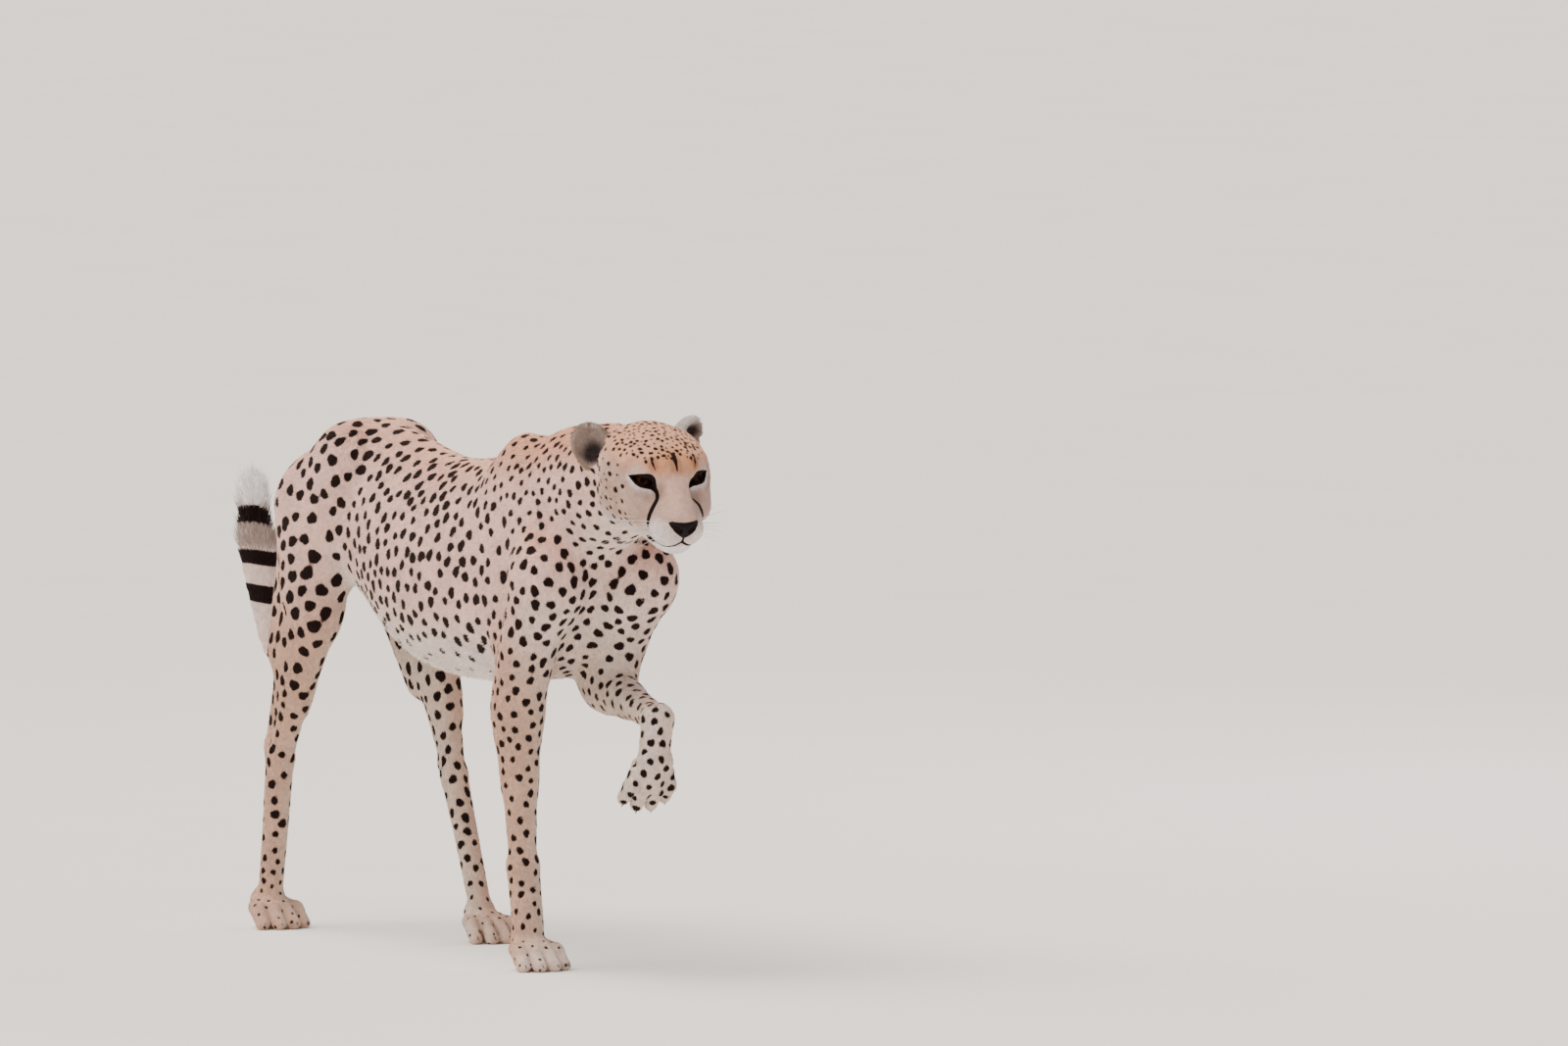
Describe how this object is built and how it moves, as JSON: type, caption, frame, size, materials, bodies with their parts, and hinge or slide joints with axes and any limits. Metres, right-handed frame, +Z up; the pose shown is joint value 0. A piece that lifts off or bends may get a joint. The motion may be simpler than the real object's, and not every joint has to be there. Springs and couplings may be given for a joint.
{
  "type": "cheetah",
  "caption": "Life-size still model of a walking cheetah, one forepaw lifted, for display on a floor.",
  "frame": {"origin": "on the floor, under the middle of the whole model's box", "axes": "+X along the body towards the head, +Y to the animal's left, +Z up"},
  "size_m": [1.374, 0.252, 0.8131],
  "materials": {
    "coat": "short spotted fur",
    "leather": "moist black nose leather",
    "eye": "wet, glossy",
    "horn": "satin claw horn"
  },
  "bodies": {
    "root": {"belly": "coat", "chest": "coat", "claw_forepaw_left_1": "horn", "claw_forepaw_left_2": "horn", "claw_forepaw_left_3": "horn", "claw_forepaw_left_4": "horn", "claw_forepaw_right_1": "horn", "claw_forepaw_right_2": "horn", "claw_forepaw_right_3": "horn", "claw_forepaw_right_4": "horn", "claw_hindpaw_left_1": "horn", "claw_hindpaw_left_2": "horn", "claw_hindpaw_left_3": "horn", "claw_hindpaw_left_4": "horn", "claw_hindpaw_right_1": "horn", "claw_hindpaw_right_2": "horn", "claw_hindpaw_right_3": "horn", "claw_hindpaw_right_4": "horn", "ear_left": "coat", "ear_right": "coat", "eye_left": "eye", "eye_right": "eye", "forearm_left": "coat", "forearm_right": "coat", "forepaw_left": "coat", "forepaw_right": "coat", "head": "coat", "hindpaw_left": "coat", "hindpaw_right": "coat", "hock_left": "coat", "hock_right": "coat", "jaw": "coat", "neck": "coat", "nose": "leather", "pelvis": "coat", "shank_left": "coat", "shank_right": "coat", "shoulder_left": "coat", "shoulder_right": "coat", "tail": "coat", "tail_tip": "coat", "thigh_left": "coat", "thigh_right": "coat"}
  },
  "joints": []
}
